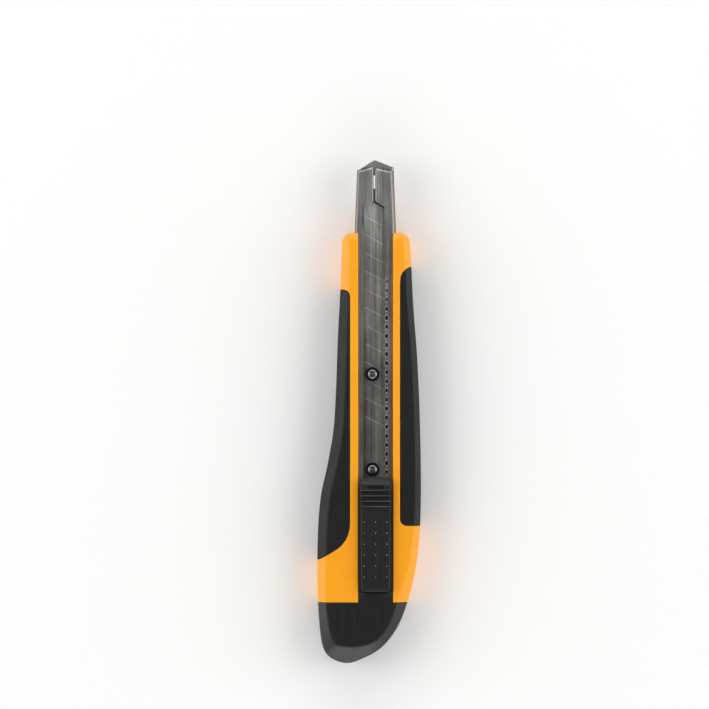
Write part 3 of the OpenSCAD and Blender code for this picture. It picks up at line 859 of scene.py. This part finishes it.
BUTTON_X = (button_low[0] + button_high[0]) / 2
BUTTON_REAR_W = 7.8
BUTTON_Z = 11.3
BUTTON_PAD = 14.2
BUTTON_EDGE_R = 0.28
GROOVE_FIRST_Y = -20.8
GROOVE_PITCH = 1.5
GROOVE_COUNT = 5
GROOVE_HALF = 0.52
GROOVE_DEEP = 0.6
GROOVE_SHORT = 2.2
DOT_PITCH = 3.03
DOT_ACROSS = DOT_PITCH * 1.03
DOT_ROWS = 6
DOT_FIRST_Y = -30.3
DOT_R = 0.3
DOT_H = 0.3
FOOT_LOW = (2.2, -28.6)
FOOT_HIGH = (3.9, -26.2)
FLANGE_Z = 11.78
NECK_GAP = 0.12
NECK_INSET = 0.4
NECK_END_GAP = 0.15
ROOF_GAP = 0.06
FLANGE_OUT = 0.4
PRESS = 0.6


def button_outline():
    w, r = BUTTON_REAR_W / 2, 1.1
    half, front_r = (button_high[0] - button_low[0]) / 2, 2.0
    low, high = button_low[1], button_high[1]
    return np.vstack([arc(BUTTON_X - w + r, low + r, r, 180, 270, 8),
        arc(BUTTON_X + w - r, low + r, r, 270, 360, 8),
        arc(BUTTON_X + half - front_r, high - front_r, front_r, 0, 90, 12),
        arc(BUTTON_X - half + front_r, high - front_r, front_r, 90, 180, 12)])


def button_dots():
    return [(BUTTON_X + column * DOT_ACROSS, DOT_FIRST_Y - row * DOT_PITCH) for column in (-1, 0, 1)
        for row in range(DOT_ROWS)]


def make_button():
    edge = button_outline()
    loop = np.vstack([edge, edge[:1]])
    inward = normals_left(edge, True)
    top, front, rear = button_high[2], button_high[1], button_low[1]
    grooves = [GROOVE_FIRST_Y - i * GROOVE_PITCH for i in range(GROOVE_COUNT)]
    step = grooves[-1]
    profile = np.array([(rear, 13.3), (rear + 0.15, 13.9), (rear + 0.4, BUTTON_PAD - 0.08),
        (rear + 0.7, BUTTON_PAD), (step - 2.4, BUTTON_PAD), (step - 1.9, BUTTON_PAD + 0.04),
        (step, top - GROOVE_DEEP), (step + 0.3, top - GROOVE_DEEP), (step + 0.4, top),
        (front - 2.4, top), (front - 1.9, 14.85), (front - 1.4, 14.5), (front - 0.8, 13.9),
        (front - 0.35, 13.3), (front, 12.7)])
    plan = Plan()
    plan.line(edge, True)
    for share in (0.03, 0.12, 0.3, 0.6, 1.0, 1.4):
        plan.line(edge + inward * share * BUTTON_EDGE_R, True)
    for y in np.concatenate([np.arange(rear, rear + 1, 0.1), np.arange(step - 1.8, front, 0.075)]):
        plan.line([(BUTTON_X - 5, y), (BUTTON_X + 5, y)])
    for aside in (-GROOVE_SHORT - 0.4, -GROOVE_SHORT, GROOVE_SHORT, GROOVE_SHORT + 0.4):
        plan.line([(BUTTON_X + aside, grooves[0] - 0.6), (BUTTON_X + aside, grooves[0] + 0.6)])
    for x, y in button_dots():
        for share in (0.25, 0.55, 0.8, 0.93, 1.0):
            plan.line(arc(x, y, DOT_R * share, 0, 360, 16)[:-1], True)
    plan.dots(button_dots())
    plan.dots([(x, y) for x in np.arange(-1.6, 5.6, 0.8) for y in np.arange(rear + 1.2, step - 2, 0.8)])
    points, faces = plan.triangles()
    keep = inside(points[faces].mean(axis=1), edge)

    def high(p):
        z = np.interp(p[:, 1], profile[:, 0], profile[:, 1])
        out = np.clip((np.abs(p[:, 0] - BUTTON_X) - GROOVE_SHORT) / 0.4, 0, 1)
        for i, y in enumerate(grooves):
            away = np.abs(p[:, 1] - y) / GROOVE_HALF
            cut = GROOVE_DEEP * np.sqrt(np.clip(1 - away ** 2, 0, 1)) * (1 - out * (i == 0))
            z = np.minimum(z, top - cut)
        for x, y in button_dots():
            away = np.hypot(p[:, 0] - x, p[:, 1] - y) / DOT_R
            z = z + DOT_H * np.sqrt(np.clip(1 - away ** 2, 0, 1))
        return z - fillet_drop(distance(p, loop), BUTTON_EDGE_R)

    button = make_object("thumb_button_moulded", [plan_solid(points, faces[keep],
        lambda p: np.full(len(p), BUTTON_Z), high)])
    neck_low = block_low[1] + NECK_INSET - NECK_END_GAP
    neck_high = block_high[1] - NECK_INSET + NECK_END_GAP
    left, right = LEFT_LIP[0][1] + NECK_GAP, RIGHT_LIP[0][1] - NECK_GAP
    roof = block_high[2] + PRESS + ROOF_GAP
    rooms = [rounded_box((left - out, neck_low, floor), (right + out, neck_high, roof), 0)
        for out, floor in ((NECK_GAP, 0), (FLANGE_OUT, FLANGE_Z))]
    for room in rooms:
        combine(button, "DIFFERENCE", [room])
    combine(button, "UNION", [rounded_box((*FOOT_LOW, button_low[2]), (*FOOT_HIGH, roof + 0.2), 0.1)])
    mark_wear_and_highlight(button.data, grooves)
    dress(button, slider_plastic, "button", ["thumb_button"], 40)


def mark_wear_and_highlight(mesh, grooves):
    """Marks the tops of the dots and of the ridges between the grooves to be drawn lighter: thumb wear, and a
    painted highlight where these tops catch the light.
    """
    p = np.array([v.co for v in mesh.vertices]) / MM
    wear_and_highlight = np.zeros(len(p))
    for x, y in button_dots():
        away = np.hypot(p[:, 0] - x, p[:, 1] - y) / DOT_R
        wear_highlight_share = np.clip(1.6 - 1.6 * away, 0, 1)
        wear_and_highlight = np.maximum(wear_and_highlight, np.where(p[:, 2] > BUTTON_PAD + 0.1, wear_highlight_share, 0))
    for y in grooves[:-1]:
        away = np.abs(p[:, 1] - (y - GROOVE_PITCH / 2)) / (GROOVE_PITCH / 2 - GROOVE_HALF + 0.05)
        wear_highlight_share = 0.7 * np.clip(1.2 - away, 0, 1)
        wear_and_highlight = np.maximum(wear_and_highlight, np.where(p[:, 2] > button_high[2] - 0.15, wear_highlight_share, 0))
    mesh.attributes.new(WEAR_AND_HIGHLIGHT, "FLOAT", "POINT").data.foreach_set("value", wear_and_highlight)


make_button()

# ---------------------------------------------------------------- CAD pieces that stay

for node, material, slot in (("slider_block", slider_plastic, "slider_plastic"),
        ("blade_carrier", stud_steel, "stud_steel"), ("carrier_rivets", channel_steel, "channel_steel"),
        ("lock_spring", blade_steel, "blade_steel"), ("spring_rivet", channel_steel, "channel_steel"),
        ("channel_rivets", channel_steel, "channel_steel")):
    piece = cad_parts[node]
    piece.data.materials.clear()
    piece.data.materials.append(material)
    bevel = piece.modifiers.new("edges", "BEVEL")
    bevel.width = 0.00006
    bevel.segments = 2
    bevel.limit_method = "ANGLE"
    bevel.angle_limit = math.radians(40)

# ---------------------------------------------------------------- floor, light and camera


def make_floor():
    size = 1.5
    mesh = bpy.data.meshes.new("floor")
    corners = [(-size, -size, 0), (size, -size, 0), (size, size, 0), (-size, size, 0)]
    mesh.from_pydata(corners, [], [(0, 1, 2, 3)])
    floor = bpy.data.objects.new("floor", mesh)
    bpy.context.scene.collection.objects.link(floor)
    material, tree, shader, place = new_material("pale_floor")
    shader.inputs["Base Color"].default_value = (0.86, 0.86, 0.85, 1)
    shader.inputs["Roughness"].default_value = 0.9
    shader.inputs["Specular IOR Level"].default_value = 0.1
    mesh.materials.append(material)


def soft_light(name, place, size, power, aim=(0, 0, 0)):
    light = bpy.data.lights.new(name, "AREA")
    light.shape = "RECTANGLE"
    light.size, light.size_y = size
    light.energy = power
    obj = bpy.data.objects.new(name, light)
    obj.location = place
    obj.rotation_euler = (Vector(aim) - Vector(place)).to_track_quat("-Z", "Y").to_euler()
    bpy.context.scene.collection.objects.link(obj)


def make_world():
    """A pale studio that is bright round the sides and dim straight above."""
    world = bpy.data.worlds.new("studio")
    bpy.context.scene.world = world
    world.use_nodes = True
    tree = world.node_tree
    direction = add(tree, "ShaderNodeTexCoord").outputs["Generated"]
    height = add(tree, "ShaderNodeSeparateXYZ", {0: direction}).outputs["Z"]
    colour = tint(tree, height, [(0, (0.9, 0.92, 0.95)), (0.5, (1, 1, 1)), (0.76, (0.35, 0.35, 0.35)),
        (0.93, (0.06, 0.06, 0.06)), (1, (0.03, 0.03, 0.03))])
    background = tree.nodes["Background"]
    tree.links.new(colour, background.inputs["Color"])
    background.inputs["Strength"].default_value = 1.22


def make_camera():
    lens, sensor, view_w = 250, 36, 0.1953
    data = bpy.data.cameras.new("camera")
    data.lens, data.sensor_width = lens, sensor
    camera = bpy.data.objects.new("camera", data)
    camera.location = (-0.004, 0.0157, 0.01 + view_w * lens / sensor)
    bpy.context.scene.collection.objects.link(camera)
    bpy.context.scene.camera = camera


bpy.context.scene.view_settings.view_transform = "Standard"
make_floor()
make_world()
soft_light("left_box", (-0.6, 0.05, 0.28), (0.4, 1.0), 2.2)
soft_light("right_box", (0.6, 0.05, 0.28), (0.4, 1.0), 2.2)
soft_light("rear_box", (0.0, -0.7, 0.3), (0.8, 0.3), 1.6)
soft_light("front_box", (0.0, 0.75, 0.35), (0.8, 0.3), 2.0)
make_camera()
